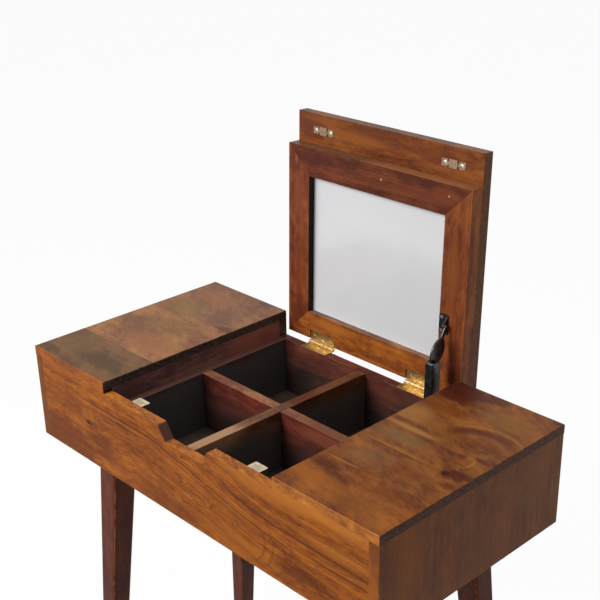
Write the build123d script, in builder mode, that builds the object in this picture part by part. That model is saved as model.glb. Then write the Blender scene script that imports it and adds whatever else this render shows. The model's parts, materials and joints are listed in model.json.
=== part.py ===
from build123d import *

import math
import os

# A writing box on four splayed legs.  The middle of its top is a lid with a
# framed mirror on the underside; the lid turns on two butt hinges and is held
# by a folding stay.  Millimetres, X to the right, Y to the back, Z up.
# The origin is on the floor, in the middle of the whole object with its lid open.

# ---- Driving dimensions --------------------------------------------------------

# Box
table_height = 760.0         # floor to the top panels
box_width = 800.0
box_depth = 400.0
box_height = 170.0           # top panels down to the underside of the boards
top_thickness = 15.0
side_thickness = 18.0
end_thickness = 17.0         # front and rear boards
plank_widths = {"front": 100.0, "middle": 150.0, "rear": 150.0}
outer_round = 1.5            # softened outer edges

# Well under the lid
well_width = 400.0
wall_thickness = 18.0
ledge_widths = {"left": 14.0, "right": 20.0}       # the right one carries the stay
ledge_drop = 47.0            # top panels down to the ledge under the lid
step_drop = 20.5             # top panels down to the front board's lowered middle
notch_top_width = 116.0
notch_floor_left = 41.0      # the notch's floor to each side of the middle
notch_floor_right = 47.0
notch_drop = 45.5
notch_round = 6.0
floor_drop = 151.0           # top panels down to the floor of the compartments
divider_thickness = 18.5
divider_skew = 4.0           # the long divider's ends: left of the middle in front, right behind
liner_round = 1.0
bottom_thickness = 6.0
groove_depth = 6.0

# Legs
leg_top_size = 49.0
leg_foot_size = 30.0
leg_top_round = 7.0
leg_inset_x = 129.0
leg_front_inset_y = 64.0
leg_rear_inset_y = 53.0
leg_splay_x = 5.74           # degrees
leg_splay_y = 2.5
leg_rail_width = 70.0
hanger_bolt_radius = 4.0
hanger_bolt_into_leg = 45.0
hanger_bolt_into_rail = 11.0
glide_radius = 11.0
glide_thickness = 5.0
glide_sides = 24
glide_nail_radius = 1.5
glide_nail_length = 14.0

# Lid and mirror
lid_open_angle = 91.8        # degrees from closed
lid_width = 398.0
lid_depth = 400.0
lid_thickness = 20.0
frame_depth = 348.0          # along the lid, from its hinged edge
frame_member = 50.0
frame_thickness = 24.0
rebate_width = 8.0
lip_thickness = 12.5
glass_clearance = 0.5
glass_thickness = 4.0
backing_thickness = 3.0
packing_width = 14.0
packing_gap = 0.5            # at each end of the upright strips

# Hinges
hinge_width = 60.0
hinge_centre_x = 114.0
knuckle_radius = 3.25
knuckle_count = 5
knuckle_gap = 0.3
leaf_thickness = 1.25
leaf_reach = 22.0            # pin axis to the free edge of a leaf
pin_radius = 1.5
pin_sides = 12               # pins and knuckles have flats too small to see
knuckle_sides = 20
pivot_clearance = 0.05
pivot_setback = 5.0          # pin axis behind the box's rear face
leaf_screw_spacing = 20.0
leaf_middle_screw_inset = 13.0      # from the free edge of a leaf
leaf_outer_screw_inset = 8.0

# Catches and strike plates
catch_centres = {"left": -138.5, "right": 139.0}
catch_width = 26.0
catch_depth = 20.0
catch_height = 14.0
catch_drop = 23.0            # top panels down to the top of a catch
catch_tab_thickness = 3.0
catch_tab_height = 20.0
catch_round = 2.0
catch_screw_spacing = 14.0
magnet_size = (16.0, 6.0, 8.0)
pole_thickness = 1.2
pole_proud = 0.3
strike_centres = {"left": -138.8, "right": 141.5}
strike_length = 47.0
strike_width = 14.0
strike_thickness = 1.5
strike_pad_length = 18.0
strike_pad_rise = 0.7
strike_round = 4.0
strike_centre_depth = 372.6  # along the lid, from its hinged edge
strike_screw_spacing = 33.2

# Lid stay
stay_bracket_reach = 121.0   # lid pivot of the stay, along the lid
stay_bracket_proud = 7.0     # lid pivot of the stay, in front of the frame
stay_offset_y = -32.65       # hinge pin to the stay's box pivot
stay_offset_z = -61.5
channel_width = 17.3
channel_depth = 19.0
channel_thickness = 1.5
channel_centre_x = 168.85
channel_lower_pivot_offset = 4.4    # behind the channel's centreline
channel_upper_end = 12.0            # past the elbow
channel_lower_end = 7.0             # past the box pivot
channel_lower_round = 6.0
channel_upper_round = 3.0
strap_thickness = 3.0
strap_bulge_width = 30.0
strap_bulge_length = 44.0
strap_bulge_centre = 29.0           # from the elbow
strap_neck_width = 6.5
strap_neck_round = 6.0
strap_upper_end_radius = 3.8
strap_lower_end_radius = 4.2
elbow_clearance = 0.3
rivet_radius = 2.0
rivet_head_radius = 3.5
rivet_head_thickness = 1.0
side_gap = 0.3
base_plate_width = 30.0
base_plate_length = 46.0
base_plate_thickness = 2.0
base_plate_round = 5.0
base_plate_lead = 8.0               # its middle in front of the stay's box pivot
base_screw_offset_y = 9.0           # its screws, from its middle
base_screw_offset_z = 14.4
bracket_width = 18.0
bracket_length = 34.0
bracket_thickness = 1.8
bracket_centre_x = 159.4
bracket_centre_reach = 122.0        # along the lid
bracket_ear_radius = 5.5
bracket_ear_root = 26.0             # length of the ear where it leaves the base
bracket_round = 3.0
bracket_screw_inset = 4.3           # left of the bracket's middle
bracket_screw_spacing = 23.0

# Flush screws: head radius, shank radius, head height, length
fastener_sides = 8           # small round pieces have flats
leaf_screw = (3.0, 1.75, 0.8, 12.0)
plate_screw = (3.2, 1.75, 1.0, 12.0)
bracket_screw = (3.2, 1.75, 1.0, 9.0)
catch_screw = (3.2, 1.75, 1.5, 14.0)

# ---- Places worked out from the dimensions -----------------------------------------

lean = math.radians(lid_open_angle - 90.0)
lean_sin = math.sin(lean)
lean_cos = math.cos(lean)

# The open lid stands behind the box, so the box sits forward of the origin.
pivot_rise = ledge_drop - knuckle_radius           # pin axis below the top panels
pivot_into_frame = frame_thickness + lid_thickness - pivot_rise
lid_back_thickness = frame_thickness + lid_thickness
lid_overhang = (
    pivot_setback
    + (pivot_setback + lid_depth) * lean_sin
    + (lid_back_thickness - pivot_into_frame) * lean_cos
)
box_y = -lid_overhang / 2
front_y = box_y - box_depth / 2
rear_y = box_y + box_depth / 2
well_front_y = front_y + end_thickness
well_rear_y = rear_y - end_thickness
well_depth = well_rear_y - well_front_y

top_z = table_height
seat_z = top_z - top_thickness                      # underside of the top panels
step_z = top_z - step_drop
ledge_z = top_z - ledge_drop
floor_z = top_z - floor_drop
under_z = top_z - box_height
rail_thickness = box_height - floor_drop - bottom_thickness
inner_width = box_width - 2 * side_thickness
wing_width = (box_width - well_width) / 2
left_ledge_x = ledge_widths["left"] - well_width / 2        # inner faces of the ledge boards
right_ledge_x = well_width / 2 - ledge_widths["right"]
notch_z = top_z - notch_drop
leg_x = box_width / 2 - leg_inset_x

pivot_y = rear_y + pivot_setback
pivot_z = top_z - pivot_rise

# The lid's own frame: x to the right, y up the open lid, z out of the mirror side.
face_y = pivot_y + pivot_setback * lean_sin - pivot_into_frame * lean_cos
face_z = pivot_z + pivot_setback * lean_cos + pivot_into_frame * lean_sin
lid_plane = Plane(
    origin=(0, face_y, face_z), x_dir=(1, 0, 0), z_dir=(0, -lean_cos, lean_sin)
)
front_face = Plane.XZ.offset(-front_y)
rear_face = Plane.XZ.offset(-rear_y)


def lid_side_plane(x):
    """Plane across the lid at x: its x runs into the lid, its y up the lid."""
    return Plane(origin=(x, face_y, face_z), x_dir=(0, lean_cos, -lean_sin), z_dir=(1, 0, 0))


def lid_point(along, into):
    """Y and Z of a point so far along the open lid and so deep into it."""
    y = face_y + along * lean_sin + into * lean_cos
    z = face_z + along * lean_cos - into * lean_sin
    return y, z


# The stay is a parallelogram with the hinge pin as its fourth corner.
stay_top_y, stay_top_z = lid_point(stay_bracket_reach, -stay_bracket_proud)
stay_base_y = pivot_y + stay_offset_y
stay_base_z = pivot_z + stay_offset_z
elbow_y = stay_top_y + stay_offset_y
elbow_z = stay_top_z + stay_offset_z
strap_length = math.hypot(stay_offset_y, stay_offset_z)

os.makedirs("parts", exist_ok=True)


# ---- Fasteners that other pieces are drilled for -----------------------------------

def screw_seats(plane, points):
    """Planes of screws driven into a plane at points given in its own x and y."""
    return [
        Plane(origin=plane.from_local_coords((x, y, 0)), x_dir=plane.x_dir, z_dir=plane.z_dir)
        for x, y in points
    ]


def flush_screws(seats, sizes):
    """Screws with flats in place of threads, their flat heads sunk flush with the seats."""
    head_radius, shank_radius, head_height, length = sizes
    with BuildPart() as screws:
        with BuildSketch(*seats):
            RegularPolygon(head_radius, fastener_sides)
        extrude(amount=-head_height)
        with BuildSketch(*[seat.offset(-head_height) for seat in seats]):
            RegularPolygon(shank_radius, fastener_sides)
        extrude(amount=head_height - length)
    return screws


# Each hinge leaf has three screws in a staggered row.
leaf_screw_points = [
    (side * hinge_centre_x + place * leaf_screw_spacing, inset)
    for side in (-1, 1)
    for place, inset in (
        (-1, leaf_outer_screw_inset),
        (0, leaf_middle_screw_inset),
        (1, leaf_outer_screw_inset),
    )
]

hinge_rail_screws = flush_screws(
    screw_seats(
        Plane.XY.offset(ledge_z + leaf_thickness),
        [(x, pivot_y - leaf_reach + inset) for x, inset in leaf_screw_points],
    ),
    leaf_screw,
)
hinge_rail_screws.part.label = "hinge_rail_screws"
export_step(hinge_rail_screws.part, "parts/hinge_rail_screws.step")

mortise_depth = pivot_into_frame + knuckle_radius
leaf_edge = leaf_reach - pivot_setback              # free edge of the lid leaf, along the lid
hinge_lid_screws = flush_screws(
    screw_seats(
        lid_plane.offset(leaf_thickness - mortise_depth),
        [(x, leaf_edge - inset) for x, inset in leaf_screw_points],
    ),
    leaf_screw,
)
hinge_lid_screws.part.label = "hinge_lid_screws"
export_step(hinge_lid_screws.part, "parts/hinge_lid_screws.step")

strike_screw_seats = screw_seats(
    lid_plane.offset(strike_thickness - frame_thickness),
    [
        (centre + offset * strike_screw_spacing / 2, strike_centre_depth)
        for centre in strike_centres.values()
        for offset in (-1, 1)
    ],
)
strike_screws = flush_screws(strike_screw_seats, plate_screw)
strike_screws.part.label = "strike_screws"
export_step(strike_screws.part, "parts/strike_screws.step")

catch_base_z = top_z - catch_drop - catch_height
catch_screw_seats = screw_seats(
    Plane(origin=(0, well_front_y + catch_tab_thickness, 0), x_dir=(-1, 0, 0), z_dir=(0, 1, 0)),
    [
        (-centre + side * catch_screw_spacing / 2, catch_base_z - catch_tab_height / 2)
        for centre in catch_centres.values()
        for side in (-1, 1)
    ],
)
catch_screws = flush_screws(catch_screw_seats, catch_screw)
catch_screws.part.label = "catch_screws"
export_step(catch_screws.part, "parts/catch_screws.step")

bracket_screw_seats = screw_seats(
    lid_plane.offset(bracket_thickness),
    [
        (bracket_centre_x - bracket_screw_inset, bracket_centre_reach + offset)
        for offset in (-bracket_screw_spacing / 2, bracket_screw_spacing / 2)
    ],
)
stay_bracket_screws = flush_screws(bracket_screw_seats, bracket_screw)
stay_bracket_screws.part.label = "stay_bracket_screws"
export_step(stay_bracket_screws.part, "parts/stay_bracket_screws.step")

# The stay's base plate stands on the inner face of the right ledge board.
base_plate_x = right_ledge_x - base_plate_thickness
base_plate_face = Plane(origin=(base_plate_x, 0, 0), x_dir=(0, -1, 0), z_dir=(-1, 0, 0))
base_plate_y = stay_base_y - base_plate_lead
stay_base_screws = flush_screws(
    screw_seats(
        base_plate_face,
        [
            (-base_plate_y + end * base_screw_offset_y, stay_base_z + end * base_screw_offset_z)
            for end in (-1, 1)
        ],
    ),
    plate_screw,
)
stay_base_screws.part.label = "stay_base_screws"
export_step(stay_base_screws.part, "parts/stay_base_screws.step")

leg_centres = {
    f"{end}_{side}_leg": (sign * leg_x, y, sign, splay)
    for end, y, splay in (
        ("front", front_y + leg_front_inset_y, -1),
        ("rear", rear_y - leg_rear_inset_y, 1),
    )
    for side, sign in (("left", -1), ("right", 1))
}

# Hanger bolts join the legs to the rails under the box.
with BuildPart() as leg_hanger_bolts:
    with BuildSketch(Plane.XY.offset(under_z - hanger_bolt_into_leg)):
        with Locations(*[spot[:2] for spot in leg_centres.values()]):
            RegularPolygon(hanger_bolt_radius, fastener_sides)
    extrude(amount=hanger_bolt_into_leg + hanger_bolt_into_rail)
leg_hanger_bolts.part.label = "leg_hanger_bolts"
export_step(leg_hanger_bolts.part, "parts/leg_hanger_bolts.step")

# Glides: a disc under each leg with a nail up its middle.
leg_foot_centres = [
    (
        x + sign * (under_z - glide_thickness) * math.tan(math.radians(leg_splay_x)),
        y + splay * (under_z - glide_thickness) * math.tan(math.radians(leg_splay_y)),
    )
    for x, y, sign, splay in leg_centres.values()
]
with BuildPart() as foot_glides:
    with BuildSketch():
        with Locations(*leg_foot_centres):
            RegularPolygon(glide_radius, glide_sides)
    extrude(amount=glide_thickness)
    with BuildSketch(Plane.XY.offset(glide_thickness)):
        with Locations(*leg_foot_centres):
            RegularPolygon(glide_nail_radius, fastener_sides)
    extrude(amount=glide_nail_length)
foot_glides.part.label = "foot_glides"
export_step(foot_glides.part, "parts/foot_glides.step")


# ---- Box ------------------------------------------------------------------------------

# Bottom panel, let into grooves in the four boards round it.
with BuildPart() as bottom_panel:
    with BuildSketch(Plane.XY.offset(floor_z - bottom_thickness)):
        with Locations((0, box_y)):
            Rectangle(inner_width + 2 * groove_depth, well_depth + 2 * groove_depth)
    extrude(amount=bottom_thickness)
bottom_panel.part.label = "bottom_panel"
export_step(bottom_panel.part, "parts/bottom_panel.step")

# Front board between the side boards: lowered under the lid, with a finger notch.
with BuildPart() as front_board:
    with BuildSketch(front_face) as front_outline:
        with Locations((0, (under_z + seat_z) / 2)):
            Rectangle(inner_width, seat_z - under_z)
        with Locations((0, seat_z)):
            Rectangle(well_width, 2 * (seat_z - step_z), mode=Mode.SUBTRACT)
        with BuildLine():
            Polyline(
                (-notch_top_width / 2, step_z),
                (-notch_floor_left, notch_z),
                (notch_floor_right, notch_z),
                (notch_top_width / 2, step_z),
                close=True,
            )
        make_face(mode=Mode.SUBTRACT)
        notch_corners = front_outline.vertices().filter_by_position(
            Axis.X, -notch_top_width / 2 - 1, notch_top_width / 2 + 1
        )
        fillet(notch_corners, notch_round)
    extrude(amount=-end_thickness)
    add(bottom_panel.part, mode=Mode.SUBTRACT)
    add(catch_screws.part, mode=Mode.SUBTRACT)
front_board.part.label = "front_board"
export_step(front_board.part, "parts/front_board.step")

# Rear board: cut down to the ledge between the top panels, where the hinges sit.
with BuildPart() as rear_board:
    with BuildSketch(rear_face):
        with Locations((0, (under_z + seat_z) / 2)):
            Rectangle(inner_width, seat_z - under_z)
        with Locations((0, seat_z)):
            Rectangle(well_width, 2 * (seat_z - ledge_z), mode=Mode.SUBTRACT)
    extrude(amount=end_thickness)
    add(bottom_panel.part, mode=Mode.SUBTRACT)
    add(hinge_rail_screws.part, mode=Mode.SUBTRACT)
rear_board.part.label = "rear_board"
export_step(rear_board.part, "parts/rear_board.step")

for side, sign in (("left", -1), ("right", 1)):
    # Side board, its end grain showing at the front.
    with BuildPart() as side_board:
        with BuildSketch(Plane.XY.offset(under_z)):
            with Locations((sign * (box_width - side_thickness) / 2, box_y)):
                Rectangle(side_thickness, box_depth)
        extrude(amount=seat_z - under_z)
        outer_uprights = side_board.edges().filter_by(Axis.Z).sort_by(Axis.X)
        fillet(outer_uprights[:2] if sign < 0 else outer_uprights[-2:], outer_round)
        add(bottom_panel.part, mode=Mode.SUBTRACT)
    side_board.part.label = f"{side}_side_board"
    export_step(side_board.part, f"parts/{side}_side_board.step")

    # Wall of the well, under the inner edge of the top panel.
    with BuildPart() as well_wall:
        with BuildSketch(Plane.XY.offset(floor_z)):
            with Locations((sign * (well_width + wall_thickness) / 2, box_y)):
                Rectangle(wall_thickness, well_depth)
        extrude(amount=seat_z - floor_z)
    well_wall.part.label = f"{side}_well_wall"
    export_step(well_wall.part, f"parts/{side}_well_wall.step")

    # Board lining the compartments; its top edge is the ledge for the lid.
    with BuildPart() as compartment_liner:
        with BuildSketch(Plane.XY.offset(floor_z)):
            with Locations((sign * (well_width - ledge_widths[side]) / 2, box_y)):
                Rectangle(ledge_widths[side], well_depth)
        extrude(amount=ledge_z - floor_z)
        fillet(
            compartment_liner.edges().group_by(Axis.Z)[-1].sort_by(Axis.X)[-1 if sign < 0 else 0],
            liner_round,
        )
        if side == "right":
            add(stay_base_screws.part, mode=Mode.SUBTRACT)
    compartment_liner.part.label = f"{side}_compartment_liner"
    export_step(compartment_liner.part, f"parts/{side}_compartment_liner.step")

    # Top panel of three planks, the narrow one at the front.
    plank_front_y = front_y
    for row, plank_width in plank_widths.items():
        with BuildPart() as top_plank:
            with BuildSketch(Plane.XY.offset(seat_z)):
                with Locations((sign * (well_width + wing_width) / 2, plank_front_y + plank_width / 2)):
                    Rectangle(wing_width, plank_width)
            extrude(amount=top_thickness)
            rim = top_plank.faces().sort_by(Axis.Z)[-1].edges()
            worn_edges = rim.filter_by(Axis.Y)
            if row == "front":
                worn_edges += rim.sort_by(Axis.Y)[:1]
            if row == "rear":
                worn_edges += rim.sort_by(Axis.Y)[-1:]
            fillet(worn_edges, outer_round)
        top_plank.part.label = f"{side}_top_{row}_plank"
        export_step(top_plank.part, f"parts/{side}_top_{row}_plank.step")
        plank_front_y += plank_width

    # Rail under the bottom panel that carries a pair of legs.
    with BuildPart() as leg_rail:
        with BuildSketch(Plane.XY.offset(under_z)):
            with Locations((sign * leg_x, box_y)):
                Rectangle(leg_rail_width, well_depth)
        extrude(amount=rail_thickness)
        add(leg_hanger_bolts.part, mode=Mode.SUBTRACT)
    leg_rail.part.label = f"{side}_leg_rail"
    export_step(leg_rail.part, f"parts/{side}_leg_rail.step")

# Dividers of the four compartments, halved over each other in the middle.  The long
# one, from front to rear, lies over the cross divider and a little out of square.
half_height = (ledge_z - floor_z) / 2
half_divider = divider_thickness / 2
with BuildPart() as long_divider:
    with BuildSketch(Plane.XY.offset(floor_z)):
        with BuildLine():
            Polyline(
                (-divider_skew - half_divider, well_front_y),
                (-divider_skew + half_divider, well_front_y),
                (divider_skew + half_divider, well_rear_y),
                (divider_skew - half_divider, well_rear_y),
                close=True,
            )
        make_face()
    extrude(amount=ledge_z - floor_z)
    with BuildSketch(Plane.XY.offset(floor_z)):
        with Locations((0, box_y)):
            Rectangle(2 * divider_thickness, divider_thickness)
    extrude(amount=half_height, mode=Mode.SUBTRACT)
long_divider.part.label = "long_divider"
export_step(long_divider.part, "parts/long_divider.step")

with BuildPart() as cross_divider:
    with BuildSketch(Plane.XY.offset(floor_z)):
        with Locations(((left_ledge_x + right_ledge_x) / 2, box_y)):
            Rectangle(right_ledge_x - left_ledge_x, divider_thickness)
    extrude(amount=ledge_z - floor_z)
    add(long_divider.part, mode=Mode.SUBTRACT)
cross_divider.part.label = "cross_divider"
export_step(cross_divider.part, "parts/cross_divider.step")


# ---- Legs -----------------------------------------------------------------------------

# Tapered square legs with round corners, cut level at both ends.
for node, (leg_centre, foot_centre) in zip(
    leg_centres, zip([spot[:2] for spot in leg_centres.values()], leg_foot_centres)
):
    with BuildPart() as leg:
        with BuildSketch(Plane.XY.offset(under_z)):
            with Locations(leg_centre):
                RectangleRounded(leg_top_size, leg_top_size, leg_top_round)
        with BuildSketch(Plane.XY.offset(glide_thickness)):
            with Locations(foot_centre):
                RectangleRounded(
                    leg_foot_size, leg_foot_size, leg_top_round * leg_foot_size / leg_top_size
                )
        loft(ruled=True)
        add(leg_hanger_bolts.part, mode=Mode.SUBTRACT)
        add(foot_glides.part, mode=Mode.SUBTRACT)
    leg.part.label = node
    export_step(leg.part, f"parts/{node}.step")


# ---- Magnetic catches -------------------------------------------------------------------

catch_top_z = top_z - catch_drop
catch_y = well_front_y + catch_depth / 2
magnet_length, magnet_width, magnet_height = magnet_size

with BuildPart() as catch_magnets:
    with BuildSketch(Plane.XY.offset(catch_top_z - magnet_height)):
        with Locations(*[(x, catch_y) for x in catch_centres.values()]):
            Rectangle(magnet_length, magnet_width)
    extrude(amount=magnet_height)
catch_magnets.part.label = "catch_magnets"
export_step(catch_magnets.part, "parts/catch_magnets.step")

# A steel pole plate on each side of a magnet carries its pull to the strike plate.
pole_offset = (magnet_width + pole_thickness) / 2
with BuildPart() as catch_pole_plates:
    with BuildSketch(Plane.XY.offset(catch_top_z - magnet_height)):
        with Locations(*[
            (x, catch_y + offset)
            for x in catch_centres.values()
            for offset in (-pole_offset, pole_offset)
        ]):
            Rectangle(magnet_length, pole_thickness)
    extrude(amount=magnet_height + pole_proud)
catch_pole_plates.part.label = "catch_pole_plates"
export_step(catch_pole_plates.part, "parts/catch_pole_plates.step")

# Moulded housing with a screw tab down the front board.
for side, centre in catch_centres.items():
    with BuildPart() as catch_housing:
        with BuildSketch(Plane.XY.offset(catch_base_z)):
            with Locations((centre, catch_y)):
                Rectangle(catch_width, catch_depth)
        extrude(amount=catch_height)
        fillet(catch_housing.edges().filter_by(Axis.Z).sort_by(Axis.Y)[-2:], catch_round)
        with BuildSketch(Plane.XY.offset(catch_base_z)):
            with Locations((centre, well_front_y + catch_tab_thickness / 2)):
                Rectangle(catch_width, catch_tab_thickness)
        extrude(amount=-catch_tab_height)
        add(catch_magnets.part, mode=Mode.SUBTRACT)
        add(catch_pole_plates.part, mode=Mode.SUBTRACT)
        add(catch_screws.part, mode=Mode.SUBTRACT)
    catch_housing.part.label = f"{side}_catch_housing"
    export_step(catch_housing.part, f"parts/{side}_catch_housing.step")


# ---- Hinges -------------------------------------------------------------------------------

knuckle_pitch = hinge_width / knuckle_count


def knuckle_starts(centre, first):
    """Left ends of every second knuckle of the hinge at centre."""
    left = centre - hinge_width / 2
    return [left + knuckle_pitch * index for index in range(first, knuckle_count, 2)]


with BuildPart() as hinge_pins:
    with BuildSketch(Plane.YZ.offset(-hinge_centre_x - hinge_width / 2)):
        with Locations((pivot_y, pivot_z)):
            RegularPolygon(pin_radius, pin_sides)
    extrude(amount=hinge_width)
    with BuildSketch(Plane.YZ.offset(hinge_centre_x - hinge_width / 2)):
        with Locations((pivot_y, pivot_z)):
            RegularPolygon(pin_radius, pin_sides)
    extrude(amount=hinge_width)
hinge_pins.part.label = "hinge_pins"
export_step(hinge_pins.part, "parts/hinge_pins.step")

knuckle_length = knuckle_pitch - knuckle_gap
# A lid leaf turns on the pin's corners: the flats of its bore stand clear of them.
pin_bore_radius = (pin_radius + pivot_clearance) / math.cos(math.pi / pin_sides)
leaf_cut = knuckle_radius + knuckle_gap

for side, centre in (("left", -hinge_centre_x), ("right", hinge_centre_x)):
    # Leaf screwed to the top of the rear board, with three knuckles on the pin.
    with BuildPart() as fixed_leaf:
        with BuildSketch(Plane.XY.offset(ledge_z)):
            with Locations((centre, pivot_y - leaf_reach / 2)):
                Rectangle(hinge_width - knuckle_gap, leaf_reach)
            with Locations(*[
                (start + knuckle_pitch / 2, pivot_y) for start in knuckle_starts(centre, 1)
            ]):
                Rectangle(knuckle_pitch + knuckle_gap, 2 * leaf_cut, mode=Mode.SUBTRACT)
        extrude(amount=leaf_thickness)
        for start in knuckle_starts(centre, 0):
            with BuildSketch(Plane.YZ.offset(start + knuckle_gap / 2)):
                with Locations((pivot_y, pivot_z)):
                    RegularPolygon(knuckle_radius, knuckle_sides)
            extrude(amount=knuckle_length)
        add(hinge_pins.part, mode=Mode.SUBTRACT)
        add(hinge_rail_screws.part, mode=Mode.SUBTRACT)
    fixed_leaf.part.label = f"{side}_hinge_fixed_leaf"
    export_step(fixed_leaf.part, f"parts/{side}_hinge_fixed_leaf.step")

    # Leaf let into the lid's frame, with two knuckles that turn on the pin.
    with BuildPart() as lid_leaf:
        with BuildSketch(lid_plane.offset(-mortise_depth)):
            with Locations((centre, leaf_edge - leaf_reach / 2)):
                Rectangle(hinge_width - knuckle_gap, leaf_reach)
            with Locations(*[
                (start + knuckle_pitch / 2, -pivot_setback) for start in knuckle_starts(centre, 0)
            ]):
                Rectangle(knuckle_pitch + knuckle_gap, 2 * leaf_cut, mode=Mode.SUBTRACT)
        extrude(amount=leaf_thickness)
        for start in knuckle_starts(centre, 1):
            with BuildSketch(Plane.YZ.offset(start + knuckle_gap / 2)):
                with Locations((pivot_y, pivot_z)):
                    RegularPolygon(knuckle_radius, knuckle_sides)
            extrude(amount=knuckle_length)
            with BuildSketch(Plane.YZ.offset(start)):
                with Locations((pivot_y, pivot_z)):
                    RegularPolygon(pin_bore_radius, pin_sides)
            extrude(amount=knuckle_pitch, mode=Mode.SUBTRACT)
        add(hinge_lid_screws.part, mode=Mode.SUBTRACT)
    lid_leaf.part.label = f"{side}_hinge_lid_leaf"
    export_step(lid_leaf.part, f"parts/{side}_hinge_lid_leaf.step")


# ---- Lid ------------------------------------------------------------------------------------

# Lid board of three planks that continue those of the top panels.
plank_start = 0.0
for row, plank_width in reversed(plank_widths.items()):
    with BuildPart() as lid_plank:
        with BuildSketch(lid_plane.offset(-frame_thickness)):
            with Locations((0, plank_start + plank_width / 2)):
                Rectangle(lid_width, plank_width)
        extrude(amount=-lid_thickness)
        outer_face = lid_plank.faces().sort_by(Axis.Y)[-1]
        worn_edges = outer_face.edges().filter_by(lambda edge: abs(edge.tangent_at(0.5).X) < 0.5)
        if row == "front":
            worn_edges += outer_face.edges().sort_by(Axis.Z)[-1:]
        fillet(worn_edges, outer_round)
        add(strike_screws.part, mode=Mode.SUBTRACT)
    lid_plank.part.label = f"lid_{row}_plank"
    export_step(lid_plank.part, f"parts/lid_{row}_plank.step")
    plank_start += plank_width

# Four mitred frame members, rebated behind a lip for the glass.
half_lid = lid_width / 2
opening_x = half_lid - frame_member
frame_corners = [
    (-half_lid, 0),
    (half_lid, 0),
    (half_lid, frame_depth),
    (-half_lid, frame_depth),
]
opening_corners = [
    (-opening_x, frame_member),
    (opening_x, frame_member),
    (opening_x, frame_depth - frame_member),
    (-opening_x, frame_depth - frame_member),
]
rebate_length_x = 2 * (opening_x + rebate_width)
rebate_length_y = frame_depth - 2 * (frame_member - rebate_width)
frame_centre = (0, frame_depth / 2)
hinge_mortises = [(side * hinge_centre_x, leaf_edge / 2) for side in (-1, 1)]

for index, member in enumerate(("hinge_rail", "right_stile", "top_rail", "left_stile")):
    with BuildPart() as frame_piece:
        with BuildSketch(lid_plane):
            with BuildLine():
                Polyline(
                    frame_corners[index],
                    frame_corners[(index + 1) % 4],
                    opening_corners[(index + 1) % 4],
                    opening_corners[index],
                    close=True,
                )
            make_face()
        extrude(amount=-frame_thickness)
        with BuildSketch(lid_plane.offset(-lip_thickness)):
            with Locations(frame_centre):
                Rectangle(rebate_length_x, rebate_length_y)
        extrude(amount=lip_thickness - frame_thickness, mode=Mode.SUBTRACT)
        if member == "hinge_rail":
            with BuildSketch(lid_plane):
                with Locations(*hinge_mortises):
                    Rectangle(hinge_width, leaf_edge)
            extrude(amount=-mortise_depth, mode=Mode.SUBTRACT)
            add(hinge_lid_screws.part, mode=Mode.SUBTRACT)
        if member == "right_stile":
            add(stay_bracket_screws.part, mode=Mode.SUBTRACT)
    frame_piece.part.label = f"mirror_frame_{member}"
    export_step(frame_piece.part, f"parts/mirror_frame_{member}.step")

glass_length_x = rebate_length_x - 2 * glass_clearance
glass_length_y = rebate_length_y - 2 * glass_clearance

with BuildPart() as mirror_glass:
    with BuildSketch(lid_plane.offset(-lip_thickness)):
        with Locations(frame_centre):
            Rectangle(glass_length_x, glass_length_y)
    extrude(amount=-glass_thickness)
mirror_glass.part.label = "mirror_glass"
export_step(mirror_glass.part, "parts/mirror_glass.step")

with BuildPart() as mirror_backing:
    with BuildSketch(lid_plane.offset(-lip_thickness - glass_thickness)):
        with Locations(frame_centre):
            Rectangle(glass_length_x, glass_length_y)
    extrude(amount=-backing_thickness)
mirror_backing.part.label = "mirror_backing"
export_step(mirror_backing.part, "parts/mirror_backing.step")

# Strips between the backing and the lid board press the glass against the lip.
strip_front = lip_thickness + glass_thickness + backing_thickness
strip_x = (glass_length_x - packing_width) / 2
strip_y = (glass_length_y - packing_width) / 2
with BuildPart() as mirror_packing_strips:
    with BuildSketch(lid_plane.offset(-strip_front)):
        with Locations(*[(0, frame_depth / 2 + y) for y in (-strip_y, strip_y)]):
            Rectangle(glass_length_x, packing_width)
        with Locations(*[(x, frame_depth / 2) for x in (-strip_x, strip_x)]):
            Rectangle(packing_width, glass_length_y - 2 * (packing_width + packing_gap))
    extrude(amount=strip_front - frame_thickness)
mirror_packing_strips.part.label = "mirror_packing_strips"
export_step(mirror_packing_strips.part, "parts/mirror_packing_strips.step")

# Strike plates on the underside of the lid, over the catches.
for side, centre in strike_centres.items():
    with BuildPart() as strike_plate:
        with BuildSketch(lid_plane.offset(-frame_thickness)):
            with Locations((centre, strike_centre_depth)):
                RectangleRounded(strike_length, strike_width, strike_round)
        extrude(amount=strike_thickness)
        with BuildSketch(lid_plane.offset(strike_thickness - frame_thickness)):
            with Locations((centre, strike_centre_depth)):
                Rectangle(strike_pad_length, strike_width)
        extrude(amount=strike_pad_rise)
        add(strike_screws.part, mode=Mode.SUBTRACT)
    strike_plate.part.label = f"{side}_strike_plate"
    export_step(strike_plate.part, f"parts/{side}_strike_plate.step")


# ---- Lid stay ---------------------------------------------------------------------------------

strap_x = channel_centre_x - strap_thickness / 2
bracket_ear_x = strap_x - side_gap - bracket_thickness
channel_left_x = channel_centre_x - channel_width / 2
channel_right_x = channel_centre_x + channel_width / 2


def turned_rivet(y, z, shank, heads):
    """A rivet along X at y, z: start and end x of its shank and of each head."""
    with BuildPart() as rivet:
        with BuildSketch(Plane.YZ.offset(shank[0])):
            with Locations((y, z)):
                RegularPolygon(rivet_radius, fastener_sides)
        extrude(amount=shank[1] - shank[0])
        for start in heads:
            with BuildSketch(Plane.YZ.offset(start)):
                with Locations((y, z)):
                    RegularPolygon(rivet_head_radius, fastener_sides + 2)
            extrude(amount=rivet_head_thickness)
    return rivet


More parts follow.
